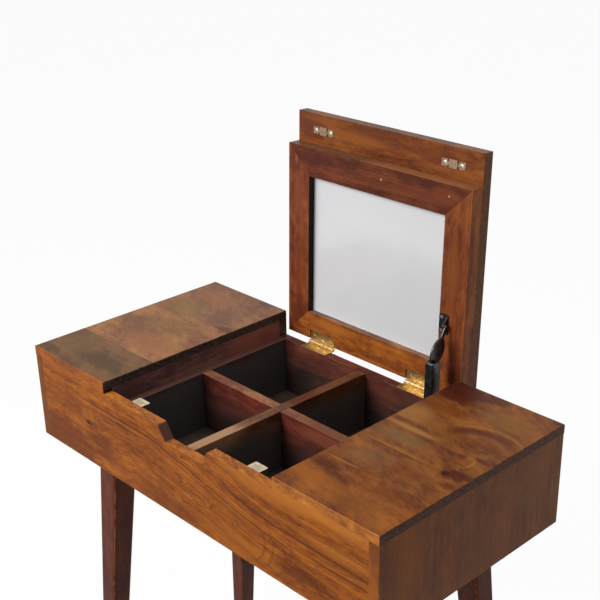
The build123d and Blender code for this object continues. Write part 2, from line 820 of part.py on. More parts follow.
# Base plate on the ledge board, with the rivet that the channel turns on.
base_rivet_inner_x = channel_right_x - channel_thickness - side_gap
stay_base_rivet = turned_rivet(
    stay_base_y,
    stay_base_z,
    shank=(base_rivet_inner_x, right_ledge_x),
    heads=[base_rivet_inner_x - rivet_head_thickness],
)
stay_base_rivet.part.label = "stay_base_rivet"
export_step(stay_base_rivet.part, "parts/stay_base_rivet.step")

with BuildPart() as stay_base_plate:
    with BuildSketch(base_plate_face):
        with Locations((-base_plate_y, stay_base_z)):
            RectangleRounded(base_plate_width, base_plate_length, base_plate_round)
    extrude(amount=-base_plate_thickness)
    add(stay_base_rivet.part, mode=Mode.SUBTRACT)
    add(stay_base_screws.part, mode=Mode.SUBTRACT)
stay_base_plate.part.label = "stay_base_plate"
export_step(stay_base_plate.part, "parts/stay_base_plate.step")

# The channel lies parallel to the lid; its open side faces the lid.
link_along = (elbow_y - stay_base_y) * lean_sin + (elbow_z - stay_base_z) * lean_cos
channel_plane = Plane(
    origin=(channel_left_x, stay_base_y, stay_base_z),
    x_dir=(0, lean_cos, -lean_sin),
    z_dir=(1, 0, 0),
)
channel_front = -channel_lower_pivot_offset - channel_depth / 2
channel_length = channel_lower_end + link_along + channel_upper_end

stay_elbow_rivet = turned_rivet(
    elbow_y,
    elbow_z,
    shank=(channel_left_x, channel_right_x),
    heads=[channel_left_x - rivet_head_thickness, channel_right_x],
)
stay_elbow_rivet.part.label = "stay_elbow_rivet"
export_step(stay_elbow_rivet.part, "parts/stay_elbow_rivet.step")

with BuildPart() as stay_lower_channel:
    with BuildSketch(channel_plane) as channel_side:
        with Locations((channel_front, -channel_lower_end)):
            Rectangle(channel_depth, channel_length, align=(Align.MIN, Align.MIN))
        fillet(channel_side.vertices().sort_by(Axis.Y)[:2], channel_lower_round)
        fillet(channel_side.vertices().sort_by(Axis.Y)[-2:], channel_upper_round)
    extrude(amount=channel_width)
    with BuildSketch(channel_plane.offset(channel_thickness)):
        with Locations((channel_front + channel_thickness, -2 * channel_lower_end)):
            Rectangle(
                channel_depth,
                channel_length + 2 * channel_lower_end,
                align=(Align.MIN, Align.MIN),
            )
    extrude(amount=channel_width - 2 * channel_thickness, mode=Mode.SUBTRACT)
    add(stay_elbow_rivet.part, mode=Mode.SUBTRACT)
    with BuildSketch(Plane.YZ.offset(channel_right_x - channel_thickness)):
        with Locations((stay_base_y, stay_base_z)):
            Circle(rivet_radius + pivot_clearance)
    extrude(amount=channel_thickness, mode=Mode.SUBTRACT)
stay_lower_channel.part.label = "stay_lower_channel"
export_step(stay_lower_channel.part, "parts/stay_lower_channel.step")

# Bracket on the frame's stile: a screwed base and an ear beside the strap.
lid_rivet_outer_x = strap_x + strap_thickness + side_gap
stay_lid_rivet = turned_rivet(
    stay_top_y,
    stay_top_z,
    shank=(bracket_ear_x, lid_rivet_outer_x),
    heads=[bracket_ear_x - rivet_head_thickness, lid_rivet_outer_x],
)
stay_lid_rivet.part.label = "stay_lid_rivet"
export_step(stay_lid_rivet.part, "parts/stay_lid_rivet.step")

with BuildPart() as stay_lid_bracket:
    with BuildSketch(lid_plane):
        with Locations((bracket_centre_x, bracket_centre_reach)):
            RectangleRounded(bracket_width, bracket_length, bracket_round)
    extrude(amount=bracket_thickness)
    with BuildSketch(lid_side_plane(bracket_ear_x)):
        with Locations((-stay_bracket_proud, stay_bracket_reach)):
            Circle(bracket_ear_radius)
        with Locations((-bracket_thickness / 2, bracket_centre_reach)):
            Rectangle(bracket_thickness, bracket_ear_root)
        make_hull()
    extrude(amount=bracket_thickness)
    add(stay_lid_rivet.part, mode=Mode.SUBTRACT)
    add(stay_bracket_screws.part, mode=Mode.SUBTRACT)
stay_lid_bracket.part.label = "stay_lid_bracket"
export_step(stay_lid_bracket.part, "parts/stay_lid_bracket.step")

# Leaf-shaped strap from the elbow up to the bracket.
strap_plane = Plane(
    origin=(strap_x, elbow_y, elbow_z),
    x_dir=(0, -stay_offset_y, -stay_offset_z),
    z_dir=(1, 0, 0),
)
with BuildPart() as stay_upper_strap:
    with BuildSketch(strap_plane) as strap_outline:
        Circle(strap_lower_end_radius)
        with Locations((strap_length, 0)):
            Circle(strap_upper_end_radius)
        with Locations((strap_bulge_centre, 0)):
            Ellipse(strap_bulge_length / 2, strap_bulge_width / 2)
        with Locations((strap_length / 2, 0)):
            Rectangle(strap_length, strap_neck_width)
        neck_corners = strap_outline.vertices().filter_by_position(
            Axis.X, strap_bulge_centre, strap_length - 2 * strap_upper_end_radius
        )
        fillet(neck_corners, strap_neck_round)
        Circle(rivet_radius + elbow_clearance, mode=Mode.SUBTRACT)
        with Locations((strap_length, 0)):
            Circle(rivet_radius + pivot_clearance, mode=Mode.SUBTRACT)
    extrude(amount=strap_thickness)
stay_upper_strap.part.label = "stay_upper_strap"
export_step(stay_upper_strap.part, "parts/stay_upper_strap.step")
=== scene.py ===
import json
import math

import bmesh
import bpy
from mathutils import Matrix, Vector


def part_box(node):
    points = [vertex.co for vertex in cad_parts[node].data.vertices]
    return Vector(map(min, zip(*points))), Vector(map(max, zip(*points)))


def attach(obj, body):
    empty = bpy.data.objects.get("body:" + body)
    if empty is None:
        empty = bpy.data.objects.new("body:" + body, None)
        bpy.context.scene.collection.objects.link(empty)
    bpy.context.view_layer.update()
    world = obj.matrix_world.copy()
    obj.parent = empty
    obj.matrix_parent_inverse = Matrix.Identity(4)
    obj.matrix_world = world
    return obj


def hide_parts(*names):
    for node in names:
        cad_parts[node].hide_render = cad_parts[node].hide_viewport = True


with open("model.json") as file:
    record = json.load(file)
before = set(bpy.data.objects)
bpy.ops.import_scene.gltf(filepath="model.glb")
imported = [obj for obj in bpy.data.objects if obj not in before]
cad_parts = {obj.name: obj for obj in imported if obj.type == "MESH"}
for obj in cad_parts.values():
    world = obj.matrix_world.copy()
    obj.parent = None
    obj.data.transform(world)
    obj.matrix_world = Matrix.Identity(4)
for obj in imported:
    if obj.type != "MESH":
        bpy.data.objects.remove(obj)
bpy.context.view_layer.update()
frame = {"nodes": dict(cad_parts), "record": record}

# A vanity box on four legs with its lid open.  Lengths are in metres, but those of the
# wood's figure are in millimetres on the face it shows on: x to the right, y to the back,
# z up from the floor, and for the lid u to the right and v up the lid.

nodes = frame["nodes"]
body_of = {
    node: body
    for body, members in frame["record"]["behaviour"]["bodies"].items()
    for node in members
}
mm = 0.001

# ---- Places taken from the frame ----

box_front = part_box("front_board")[0][1]
lid_lean = math.radians(1.8)
frame_thickness = 24 * mm
frame_low = Vector(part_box("mirror_frame_hinge_rail")[0])
# Lower left front corner of the mirror frame: u and v are counted from here.
lid_origin = frame_low + Vector((0, 0, frame_thickness * math.sin(lid_lean)))

# Heights in millimetres of the box's top and of the compartments' upper edge.
top_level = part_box("left_top_front_plank")[1][2] / mm
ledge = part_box("left_compartment_liner")[1][2] / mm


def from_front(distance):
    """Y in millimetres of a place so far behind the front of the box."""
    return box_front / mm + distance


# ---- Shader node helpers ----

def linear(red, green, blue):
    """Scene linear colour of an sRGB colour given as 0 to 255."""
    def channel(value):
        value /= 255
        return value / 12.92 if value <= 0.04045 else ((value + 0.055) / 1.055) ** 2.4
    return (channel(red), channel(green), channel(blue), 1.0)


class Tree:
    """Adds nodes to a new material or world; a socket or a value may feed any input."""

    def __init__(self, owner):
        owner.use_nodes = True
        self.owner = owner
        self.tree = owner.node_tree
        self.tree.nodes.clear()

    def node(self, kind, inputs=(), output=0, **settings):
        made = self.tree.nodes.new("ShaderNode" + kind)
        for key, value in settings.items():
            setattr(made, key, value)
        for key, value in dict(inputs).items():
            if isinstance(value, bpy.types.NodeSocket):
                self.tree.links.new(value, made.inputs[key])
            else:
                made.inputs[key].default_value = value
        return made.outputs[output] if made.outputs else made

    def math(self, operation, first, second=0.0, third=0.0):
        return self.node("Math", {0: first, 1: second, 2: third}, operation=operation)

    def times(self, first, second, added=0.0):
        return self.math("MULTIPLY_ADD", first, second, added)

    def vector(self, operation, first, second=(0, 0, 0), output=0):
        return self.node("VectorMath", {0: first, 1: second}, output, operation=operation)

    def split(self, vector):
        return list(self.node("SeparateXYZ", {0: vector}).node.outputs)

    def join(self, x, y, z):
        return self.node("CombineXYZ", {0: x, 1: y, 2: z})

    def place(self):
        """Place on the surface in metres, which a moving piece takes along."""
        return self.node("TexCoord", output=3)

    def normal(self):
        return self.node("TexCoord", output=1)

    def looks_up(self, least):
        """1 on faces whose normal rises to 0.8 and 0 on those below the least rise."""
        return self.step(self.split(self.normal())[2], least, 0.8)

    def turned(self, vector, axis, angle):
        return self.node("VectorRotate", {"Vector": vector, "Center": (0, 0, 0), "Angle": angle},
                         rotation_type=axis + "_AXIS")

    def noise(self, vector, scale, detail, roughness=0.5):
        return self.node("TexNoise", {"Vector": vector, "Scale": scale, "Detail": detail,
                                      "Roughness": roughness})

    def stretched(self, vector, scale, detail=2.0, roughness=0.5):
        """Noise with its own scale along x, y and z."""
        return self.noise(self.vector("MULTIPLY", vector, scale), 1.0, detail, roughness)

    def line_noise(self, place, detail, roughness):
        return self.node("TexNoise", {"W": place, "Scale": 1.0, "Detail": detail,
                                      "Roughness": roughness}, noise_dimensions="1D")

    def sway(self, base, pattern, amount):
        """base, moved up and down by a pattern that lies round one half."""
        return self.times(self.math("SUBTRACT", pattern, 0.5), amount, base)

    def step(self, value, low, high):
        """0 below low, 1 above high and smooth between; low may be the larger."""
        return self.node("MapRange", {0: value, 1: low, 2: high, 3: 0.0, 4: 1.0},
                         interpolation_type="SMOOTHSTEP")

    def ramp(self, value, stops):
        made = self.node("ValToRGB", {0: value})
        stops = list(stops)
        elements = made.node.color_ramp.elements
        while len(elements) < len(stops):
            elements.new(0.5)
        for element, (place, colour) in zip(elements, stops):
            element.position = place
            element.color = colour
        return made

    def mix(self, factor, first, second):
        """The colour first where factor is 0 and second where it is 1."""
        return self.node("Mix", {0: factor, 6: first, 7: second}, 2, data_type="RGBA")

    def surface(self, inputs, height=None, bump_distance=0.1 * mm, bump_strength=0.5):
        inputs = dict(inputs)
        if height is not None:
            inputs["Normal"] = self.node("Bump", {"Height": height, "Distance": bump_distance,
                                                  "Strength": bump_strength})
        self.node("OutputMaterial", {0: self.node("BsdfPrincipled", inputs)})
        return self.owner


def finish(names, material):
    """Gives one material to these nodes, named in one string."""
    for name in names.split():
        piece = nodes[name]
        piece.data.materials.clear()
        piece.data.materials.append(material)


# ---- Wood ----

# Which directions run along, across and into a board.
AXES = {
    "front": "xzy",      # grain left to right, seen from the front
    "top": "xyz",
    "side": "zyx",
    "depth": "yzx",      # grain front to back
    "lid": "xyz",        # u along the grain, v across it
    "stile": "yxz",
}
ON_THE_LID = ("lid", "stile")


def under_sheen(seen, gain, sheen):
    """Colour of the wood below its polish.

    seen: sRGB colour that a face should show; gain: how brightly the lamps fall on that
    face; sheen: the pale light that the polish adds there, as a share of white.
    """
    return tuple(max((part - sheen) / gain, 0.002) for part in linear(*seen)[:3]) + (1.0,)


def tones(middle):
    """Dark lines, body colours and pale fibres of a timber round its middle colour."""
    shades = ((0.34, 0.30, 0.42), (0.76, 0.72, 0.84), (1.22, 1.27, 1.12), (1.62, 1.86, 1.50))
    return [tuple(m * k for m, k in zip(middle, shade)) + (1.0,) for shade in shades]


class Board(Tree):
    """Nodes for the wood of one board; lengths are in mm and colours are sRGB."""

    def __init__(self, node, axes, light, seed, slant):
        super().__init__(bpy.data.materials.new(node + "_wood"))
        self.light = light
        self.seed = seed
        self.x_y_z = self.split(self.place())
        origin = lid_origin if axes in ON_THE_LID else Vector()
        place = self.vector("SUBTRACT", self.place(), tuple(origin))
        place = self.node("VectorMath", {0: place, "Scale": 1 / mm}, operation="SCALE")
        self.along, self.across, self.into = self.by_grain(place, axes)
        self.facing = [self.math("ABSOLUTE", part)
                       for part in self.by_grain(self.normal(), axes)]
        along = self.math("ADD", self.along, seed * 713.0)
        self.here = self.join(along, self.across, self.into)
        self.slanting = self.turned(self.here, "Z", math.radians(slant)) if slant else self.here

    def by_grain(self, vector, axes):
        """The parts of a vector along, across and into the board."""
        if axes in ON_THE_LID:
            vector = self.turned(vector, "X", lid_lean - math.pi / 2)
        part = dict(zip("xyz", self.split(vector)))
        return [part[axis] for axis in AXES[axes]]

    def ellipse(self, centre, size):
        """Distance from a centre on the face, 1 on the ellipse with these half axes."""
        x = self.math("DIVIDE", self.math("SUBTRACT", self.along, centre[0]), size[0])
        y = self.math("DIVIDE", self.math("SUBTRACT", self.across, centre[1]), size[1])
        return self.vector("LENGTH", self.join(x, y, 0.0), output=1)

    def spot(self, centre, size, rough=0.0):
        """1 in the middle of a soft ellipse on the face and 0 outside it."""
        return self.step(self.math("ADD", self.ellipse(centre, size), rough), 1.15, 0.45)

    def blotch(self, scale_along, scale_across, detail=2.0):
        """Noise stretched along the grain; the scales are in cycles per mm."""
        return self.stretched(self.here, (scale_along, scale_across, scale_across), detail)

    def seen(self, colour):
        """Linear colour of the wood where the board's face should show this colour."""
        return under_sheen(colour, *self.light)

    def toned(self, tint):
        """The timber's shades round one colour."""
        return self.ramp(self.value, zip((0.08, 0.38, 0.62, 0.94), tones(self.seen(tint))))

    def lay_growth_lines(self, surface, warp, bend, knots):
        """Finds the growth line that passes each place, by its height across the board."""
        ring_slope = 0.35
        small = self.blotch(0.030, 0.090)
        depth = self.math("SUBTRACT", self.into, surface)
        line = self.times(depth, ring_slope, self.across)
        for bulge, rise in ((self.blotch(0.0045, 0.014), warp),
                            (self.blotch(0.011, 0.030), 0.8 * warp), (small, 0.3 * warp)):
            line = self.sway(line, bulge, rise)
        for start, end, rise in bend:
            line = self.times(self.step(self.along, start, end), rise, line)
        self.knot_dark = None
        for centre_along, centre_across, radius, swirl in knots:
            knot = (centre_along, centre_across)
            ring = self.spot(knot, (radius * 7.0, radius * 3.2))
            line = self.times(ring, swirl, line)
            core = self.spot(knot, (radius * 1.6, radius), self.sway(0.0, small, 0.9))
            if self.knot_dark is not None:
                core = self.math("MAXIMUM", self.knot_dark, core)
            self.knot_dark = core
        self.line = line

    def lay_patterns(self, lines, clouds, mottle, fibres):
        """Patterns that follow the growth lines or lie over them, and one value for the
        timber's tone, from 0 for dark lines to 1 for pale fibres."""
        self.bands = self.line_noise(self.times(self.line, 0.09, self.seed * 3.7), 5.0, 0.58)
        dark = self.line_noise(self.times(self.line, 0.05, self.seed * 5.1 + 40.0), 3.0, 0.55)
        self.dark_lines = self.times(self.step(dark, 0.55, 0.72),
                                     self.step(self.blotch(0.008, 0.03), 0.35, 0.62))
        self.cloud = self.stretched(self.slanting, (0.010, 0.020, 0.020), 3.0, 0.55)
        self.figure = self.stretched(self.slanting, (0.040, 0.090, 0.090), 4.0, 0.7)
        along = self.math("ADD", self.along, self.seed * 311.0)
        flowing = self.join(along, self.line, self.into)
        streak = self.stretched(flowing, (0.008, 0.13, 0.05), 4.0, 0.62)
        self.fibre = self.stretched(flowing, (0.045, 0.38, 0.1), 4.0, 0.75)
        self.pores = self.step(self.blotch(0.10, 2.4, 1.0), 0.64, 0.76)
        self.value = 0.5
        for pattern, share in ((self.bands, 0.8 * lines), (streak, 1.4 * lines),
                               (self.cloud, 1.2 * clouds), (self.figure, 1.1 * mottle),
                               (self.fibre, fibres)):
            self.value = self.sway(self.value, pattern, share)

    # Each of the following returns the colour with one more thing laid over it.

    def with_marks(self, colour, dark, patches, arcs, drawn):
        """What the face of this board alone has, then pores and knots."""
        ragged = self.math("ADD", self.times(self.cloud, 1.1), self.times(self.figure, 0.9))
        ragged = self.times(self.fibre, 0.5, self.math("SUBTRACT", ragged, 1.25))
        cover = 0.775                        # share of a full patch's colour
        for centre, size, tint, strength in patches:
            area = self.times(self.spot(centre, size, ragged), cover * strength)
            colour = self.mix(area, colour, self.seen(tint))
        for centre, size, width, window, window_size, tint, strength in arcs:
            reach = self.times(ragged, 0.12, self.ellipse(centre, size))
            off_line = self.math("ABSOLUTE", self.math("SUBTRACT", reach, 1.0))
            bow = self.times(self.step(off_line, width, 0.0), self.spot(window, window_size))
            colour = self.mix(self.times(bow, strength), colour, self.seen(tint))
        fade = 60.0                          # mm over which a drawn line's ends die away
        for level, half_width, start, end, strength in drawn:
            gap = self.math("ABSOLUTE", self.math("SUBTRACT", self.line, level))
            mark = self.step(gap, half_width, half_width * 0.2)
            run = self.times(self.step(self.along, start, start + fade),
                             self.step(self.along, end, end - fade))
            run = self.times(run, self.step(self.fibre, 0.30, 0.55))
            colour = self.mix(self.times(mark, self.times(run, strength)), colour, dark)
        colour = self.mix(self.times(self.pores, 0.30), colour, dark)
        if self.knot_dark is not None:
            colour = self.mix(self.times(self.knot_dark, 0.85), colour, linear(40, 18, 10))
        return colour

    def with_strip(self, colour, axis, start, end, tint):
        where = self.into if axis == "into" else self.x_y_z["xyz".index(axis)]
        return self.mix(self.step(where, start, end), colour, self.toned(tint))

    def with_ends(self, colour, dull, pale):
        grit = self.stretched(self.here, (0.3, 0.12, 0.5), 4.0)
        cut = self.ramp(grit, [(0.35, linear(*dull)), (0.72, linear(*pale))])
        return self.mix(self.step(self.facing[0], 0.6, 0.8), colour, cut)

    # Painted shade: below a level that wavers with the blotches, the colour goes most of the way
    # to a dark shade colour.
    def with_painted_depth_shade(self, colour, level, depth, shade_colour, side):
        inside, outside = side
        height = self.sway(self.times(self.x_y_z[2], 1 / mm), self.cloud, 40.0)
        shaded_below = self.step(height, level, level - depth)
        if inside != outside:
            shaded_below = self.times(shaded_below, self.step(self.x_y_z[1], outside, inside))
        return self.mix(shaded_below, colour, self.mix(0.14, linear(*shade_colour), colour))

    def with_worn_edges(self, colour, wear, worn):
        along, across, into = self.facing
        largest = self.math("MAXIMUM", self.math("MAXIMUM", along, across), into)
        rub = self.stretched(self.here, (0.05, 0.05, 0.05), 4.0, 0.7)
        edge = self.times(self.step(largest, 0.93, 0.80), self.step(rub, 0.38, 0.62))
        return self.mix(self.times(edge, wear), colour, linear(*worn))

    def with_cut(self, colour, centre, size, tint, way):
        sawn = self.times(self.spot(centre, size), self.step(self.facing[way], 0.35, 0.5))
        grit = self.stretched(self.here, (0.3, 0.3, 0.1), 4.0)
        shade = self.ramp(grit, [(0.3, under_sheen(tint, 1.4, 0.0)), (0.75, self.seen(tint))])
        return self.mix(sawn, colour, shade)

    def relief(self):
        """Height of the surface, for its bump."""
        height = self.math("SUBTRACT", self.times(self.bands, 0.5), self.times(self.pores, 0.9))
        return self.times(self.fibre, 0.35, height)


def wood(node, axes, middle, light=(1.0, 0.0), *, seed, lines, clouds=1.0, mottle=0.8,
         streaks=0.5, fibres=0.8, bend=(), drawn=(), knots=(), patches=(), arcs=(), cuts=(),
         end_tone=None, edge_strip=None, upper=None, painted_depth_shade=None, slant=0.0, surface=0.0,
         warp=16.0, wear=0.5, worn=(200, 140, 90), shine=0.10):
    """Makes a node of wood with growth lines that flow along it, blotches and pores.

    axes: how the grain lies, a key of AXES.
    middle: the colour seen on the face that light describes, as under_sheen takes it.
    seed: shifts the figure, so that no two boards are alike.
    lines, clouds, mottle, streaks, fibres: how strongly the growth lines, the large and
    small blotches, the dark lines and the short fibres show.
    warp: how far the growth lines wander across the board.
    bend: (from, to, rise) shifts the lines across the board between two places along it.
    drawn: (level, half width, from, to, strength) single dark lines that follow the grain.
    knots: (along, across, radius, swirl).
    patches: (centre, size, seen colour, strength) soft ragged areas.
    arcs: (centre, size, width, window centre, window size, seen colour, strength) bow
    shaped lines, the part of an ellipse that lies in a window.
    edge_strip: (axis, from, to, seen colour) colours what lies past a place along x, y or
    z in metres, or into the board in mm: a narrow face or the board's other side.
    upper: the colour seen on faces that look up, where it differs.
    end_tone: the two colours of sawn ends, where they differ.
    slant: angle by which the blotches are turned on the face, in degrees.
    cuts: (centre, size, colour, way) sloping or inner faces, by their place and by
    whether they face along (0) or across (1) the board.
    surface: where the face that shows lies, into the board.
    deep: (level, depth, colour, (y from, y to)), painted shade that goes dark below a level,
    on the side of the board that lies towards the first y.
    wear, worn: how much the edges are rubbed and the colour that shows there.
    shine: specular level of the polish.
    """
    board = Board(node, axes, light, seed, slant)
    board.lay_growth_lines(surface, warp, bend, knots)
    board.lay_patterns(lines, clouds, mottle, fibres)
    dark = tones(board.seen(middle))[0]
    colour = board.mix(board.times(board.dark_lines, streaks), board.toned(middle), dark)
    colour = board.with_marks(colour, dark, patches, arcs, drawn)
    if edge_strip is not None:
        colour = board.with_strip(colour, *edge_strip)
    if upper is not None:
        colour = board.mix(board.looks_up(0.6), colour, board.toned(upper))
    if end_tone is not None:
        colour = board.with_ends(colour, *end_tone)
    if painted_depth_shade is not None:
        colour = board.with_painted_depth_shade(colour, *painted_depth_shade)
    colour = board.with_worn_edges(colour, wear, worn)
    for cut in cuts:
        colour = board.with_cut(colour, *cut)
    rough = board.times(board.pores, 0.15, board.sway(0.42, board.fibre, 0.16))
    finish(node, board.surface({"Base Color": colour, "Roughness": rough,
                                "Specular IOR Level": shine}, board.relief()))


# ---- Metals, plastics and glass ----

def metal(name, base, dirt, roughness, dirt_amount=0.6, grain=420.0):
    """Worn metal: dull patches, fine scratches and a slightly uneven sheen.

    base, dirt: sRGB colours; grain: how many patches there are to a metre."""
    tree = Tree(bpy.data.materials.new(name))
    place = tree.place()
    patch = tree.noise(place, scale=grain, detail=5.0, roughness=0.65)
    mask = tree.step(patch, 0.46, 0.66)
    fine = tree.stretched(place, (900.0, 5200.0, 2600.0))
    colour = tree.mix(tree.times(mask, dirt_amount), linear(*base), linear(*dirt))
    rough = tree.times(mask, 0.22, roughness - 0.05)
    rough = tree.times(fine, 0.12, rough)
    height = tree.math("ADD", tree.times(patch, 0.6),
                       tree.times(fine, 0.4))
    return tree.surface({"Base Color": colour, "Metallic": 1.0, "Roughness": rough}, height,
                        0.05 * mm, 0.5)


def painted_steel(name):
    """Black satin paint with a faint orange-peel and a little dust."""
    tree = Tree(bpy.data.materials.new(name))
    place = tree.place()
    peel = tree.noise(place, scale=900.0, detail=2.0)
    dust = tree.noise(place, scale=120.0, detail=4.0, roughness=0.6)
    colour = tree.ramp(dust, [(0.35, linear(20, 21, 22)), (0.7, linear(38, 38, 38))])
    rough = tree.times(dust, 0.20, 0.16)
    return tree.surface({"Base Color": colour, "Roughness": rough, "Specular IOR Level": 0.6},
                        peel, 0.06 * mm, 0.5)


def plastic(name, pale, dull, roughness, shine=0.4, painted_side_shade=None):
    """Moulded plastic with slight yellowing and a fine matt texture.

    painted_side_shade: painted shade, the colour of the faces that don't look up, where it
    differs."""
    tree = Tree(bpy.data.materials.new(name))
    place = tree.place()
    tone = tree.noise(place, scale=90.0, detail=3.0)
    texture = tree.noise(place, scale=2200.0, detail=2.0)
    colour = tree.ramp(tone, [(0.36, linear(*dull)), (0.6, linear(*pale))])
    if painted_side_shade is not None:
        shaded = tree.mix(tree.times(tone, 0.3), linear(*painted_side_shade), linear(*dull))
        colour = tree.mix(tree.looks_up(0.5), shaded, colour)
    rough = tree.times(tone, 0.15, roughness - 0.07)
    return tree.surface({"Base Color": colour, "Roughness": rough, "Specular IOR Level": shine},
                        texture, 0.03 * mm, 0.4)


def mirror_material():
    """Silvered glass as a pale grey haze: a painted reflection of bright surroundings, over a
    weak real reflection.
    """
    tree = Tree(bpy.data.materials.new("glass_with_painted_reflection"))
    place = tree.place()
    painted_reflection_haze = tree.noise(place, scale=7.0, detail=3.0)
    colour = tree.ramp(painted_reflection_haze, [(0.3, linear(216, 217, 220)), (0.7, linear(222, 223, 225))])
    rough = tree.times(painted_reflection_haze, 0.04, 0.12)
    return tree.surface({"Base Color": colour, "Metallic": 0.06, "Roughness": rough,
                         "Specular IOR Level": 0.25})


# ---- What each piece is made of ----

hinge_leaves = ("left_hinge_fixed_leaf right_hinge_fixed_leaf "
                "left_hinge_lid_leaf right_hinge_lid_leaf")
strike_plates = "left_strike_plate right_strike_plate"
catch_housings = "left_catch_housing right_catch_housing"

# How each face is lit: the lamps' strength on it and the sheen that its polish adds.
front_light = (1.10, 0.016)
right_light = (1.19, 0.014)
left_light = (1.15, 0.034)
side_light = (0.35, 0.020)
lid_light = (1.04, 0.006)
leg_light = (1.00, 0.010)

# X in millimetres of the slopes at both ends of the finger notch.
notch_left, notch_right = -50, 56


def front_edge(*tint):
    """Edge strip in this colour for the face at the front of the box."""
    return ("y", box_front + 1.6 * mm, box_front + 0.8 * mm, tint)


# Front of the box: grain runs across it and the lines fall away to the right.
wood(
    "front_board", "front", (153, 88, 45), front_light, seed=1.3, lines=0.6,
    clouds=0.5, mottle=0.45, streaks=0.25, fibres=1.5, upper=(160, 98, 54), warp=9.0,
    bend=[(-130, 240, 54.0)], surface=from_front(0),
    cuts=[((notch_left, top_level - 30), (22, 40), (97, 68, 58), 0),
          ((notch_right, top_level - 30), (22, 40), (110, 62, 42), 0)],
    drawn=[(708, 3.0, -290, 260, 0.9), (714, 1.6, -60, 200, 0.7), (702, 1.2, -20, 240, 0.6),
           (697, 1.4, 0, 300, 0.6), (691, 1.0, -60, 220, 0.5), (733, 4.2, 60, 420, 0.95),
           (738, 1.4, 90, 420, 0.5), (717, 3.0, 240, 420, 0.9), (723, 1.2, 60, 300, 0.5),
           (680, 1.4, -330, 60, 0.45), (684, 1.0, -120, 160, 0.4), (745, 1.2, -60, 200, 0.45),
           (766, 4.0, 170, 400, 0.3), (755, 1.4, 60, 400, 0.4), (725, 1.2, -250, -20, 0.4),
           (660, 1.2, -400, 100, 0.3)],
    knots=[(-253, 667, 6.4, 14.0), (-8, 660, 2.2, 5.0), (62, 647, 2.4, 5.0),
           (-3, 705, 2.0, 4.0), (-5, 626, 1.7, 3.0)],
    patches=[((290, 744), (190, 22), (204, 130, 66), 0.7),
             ((330, 694), (80, 10), (186, 118, 56), 0.6),
             ((180, 735), (120, 20), (184, 114, 56), 0.7),
             ((-238, 664), (18, 12), (120, 64, 46), 0.7),
             ((-100, 745), (120, 12), (168, 102, 54), 0.6),
             ((-330, 748), (80, 16), (170, 104, 52), 0.6),
             ((120, 612), (110, 24), (160, 94, 44), 0.6),
             ((250, 625), (70, 18), (96, 52, 36), 0.9),
             ((-225, 640), (50, 34), (104, 58, 38), 0.7),
             ((-330, 618), (130, 38), (106, 58, 40), 0.95),
             ((-210, 636), (50, 40), (110, 60, 42), 0.6),
             ((-60, 602), (140, 18), (118, 66, 40), 0.7),
             ((-340, 690), (70, 30), (134, 74, 42), 0.5)],
    arcs=[((130, 640), (52, 48), 0.07, (166, 628), (40, 40), (104, 56, 32), 0.45),
          ((120, 640), (80, 58), 0.05, (190, 628), (40, 44), (104, 56, 32), 0.45),
          ((120, 640), (104, 72), 0.04, (206, 630), (40, 48), (104, 56, 32), 0.35)],
    end_tone=((42, 20, 16), (60, 32, 24)), wear=0.8, worn=(214, 148, 92), shine=0.06,
    # Painted shade darkens the board's inner face below the ledge.
    painted_depth_shade=(ledge, 60, (62, 50, 48), (box_front + 16.5 * mm, box_front + 15 * mm)))

# The top panels: planks with grain from left to right, dark sawn ends.
panel_looks = {
    "left": {"light": left_light, "clouds": 0.8, "mottle": 0.7, "slant": 36.0, "shine": 0.14,
             "end_tone": ((44, 37, 34), (92, 72, 62))},
    "right": {"light": right_light, "clouds": 1.3, "mottle": 1.0, "slant": 24.0, "shine": 0.08,
              "end_tone": ((52, 32, 22), (108, 62, 42))},
}
front_edges = {"left": front_edge(152, 88, 46), "right": front_edge(176, 108, 56)}


def behind_front(marks, places=(0,)):
    """Marks with the y of their places counted from the front of the box."""
    return [[(part[0], from_front(part[1])) if number in places else part
             for number, part in enumerate(mark)] for mark in marks]


